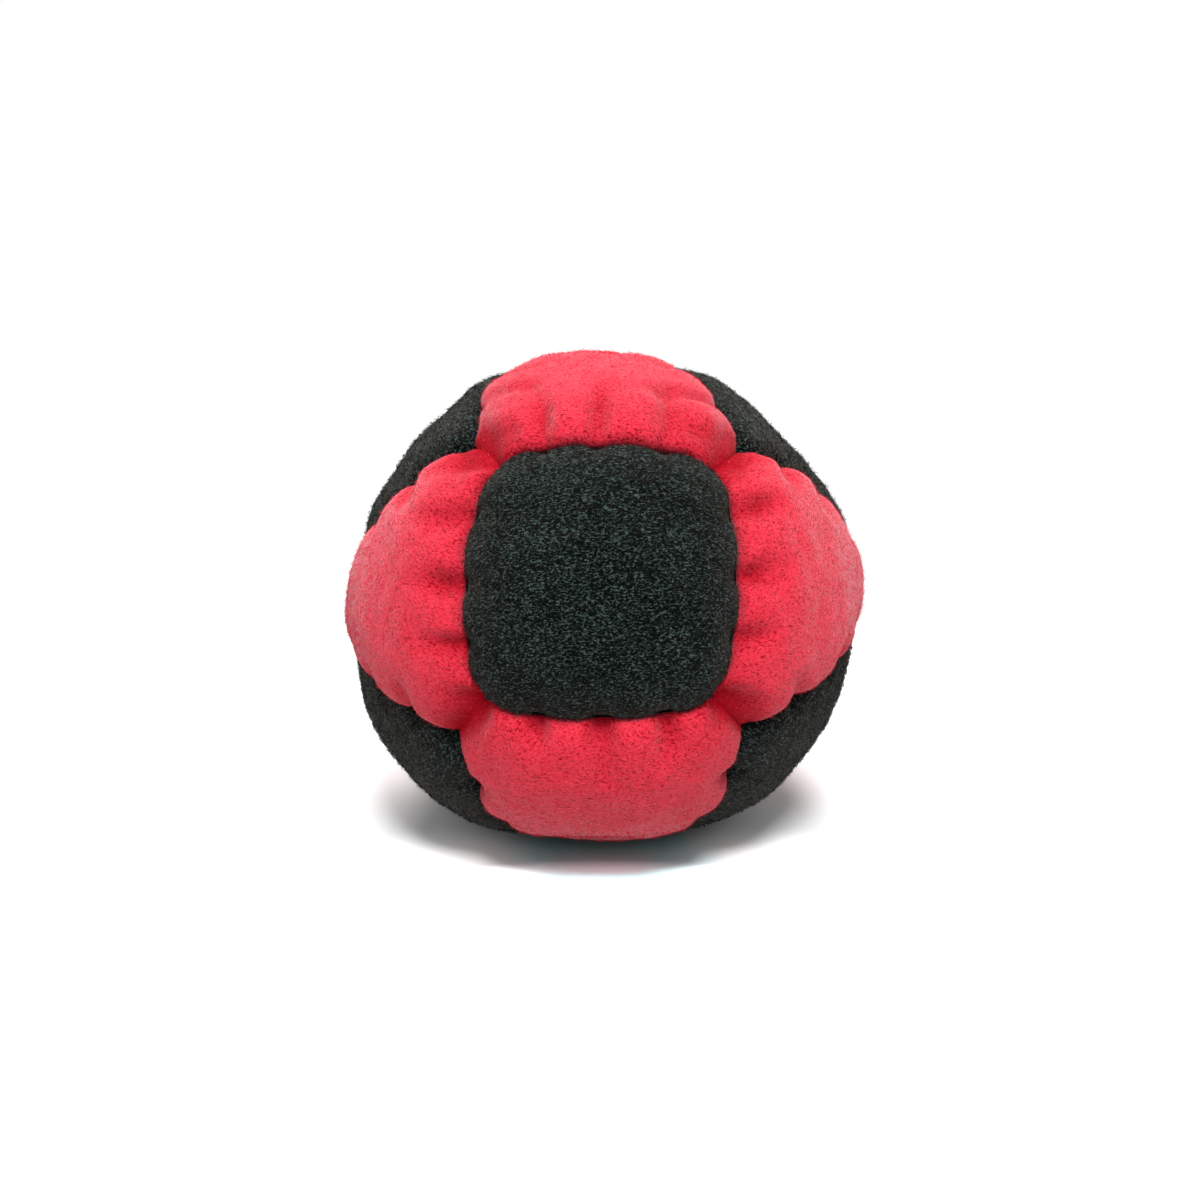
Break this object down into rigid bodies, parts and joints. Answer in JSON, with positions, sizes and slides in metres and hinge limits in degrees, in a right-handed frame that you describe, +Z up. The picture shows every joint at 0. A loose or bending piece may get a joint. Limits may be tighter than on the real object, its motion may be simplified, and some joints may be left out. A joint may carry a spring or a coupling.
{
  "type": "footbag",
  "caption": "Soft round kicking bag sewn from dark square and coral red clipped-triangle suede panels, slumped a little on the flat it rests on.",
  "frame": {"origin": "on the flat patch that the bag rests on, below the middle of the bag", "axes": "+Z up from the surface it rests on, -Y towards the side with the dark square in the picture, +X to the right as seen from there"},
  "size_m": [0.0516, 0.0508, 0.0477],
  "materials": {
    "dark_suede": "matt brushed synthetic suede, charcoal with a slight teal cast",
    "red_suede": "matt brushed synthetic suede, coral red",
    "seam_thread": "waxed sewing thread, black",
    "sand": "dry fine sand"
  },
  "bodies": {
    "root": {"dark_panel_front": "dark_suede", "dark_panel_back": "dark_suede", "dark_panel_upper_left": "dark_suede", "dark_panel_upper_right": "dark_suede", "dark_panel_lower_left": "dark_suede", "dark_panel_lower_right": "dark_suede", "red_panel_front_top": "red_suede", "red_panel_front_right": "red_suede", "red_panel_front_bottom": "red_suede", "red_panel_front_left": "red_suede", "red_panel_back_top": "red_suede", "red_panel_back_right": "red_suede", "red_panel_back_bottom": "red_suede", "red_panel_back_left": "red_suede", "seam_thread_front": "seam_thread", "seam_thread_back": "seam_thread", "seam_thread_upper_left": "seam_thread", "seam_thread_upper_right": "seam_thread", "seam_thread_lower_left": "seam_thread", "seam_thread_lower_right": "seam_thread", "corner_thread_front_upper_left": "seam_thread", "corner_thread_front_upper_right": "seam_thread", "corner_thread_front_lower_right": "seam_thread", "corner_thread_front_lower_left": "seam_thread", "corner_thread_back_upper_left": "seam_thread", "corner_thread_back_upper_right": "seam_thread", "corner_thread_back_lower_right": "seam_thread", "corner_thread_back_lower_left": "seam_thread", "corner_thread_top": "seam_thread", "corner_thread_right": "seam_thread", "corner_thread_bottom": "seam_thread", "corner_thread_left": "seam_thread", "sand_fill": "sand"}
  },
  "joints": []
}
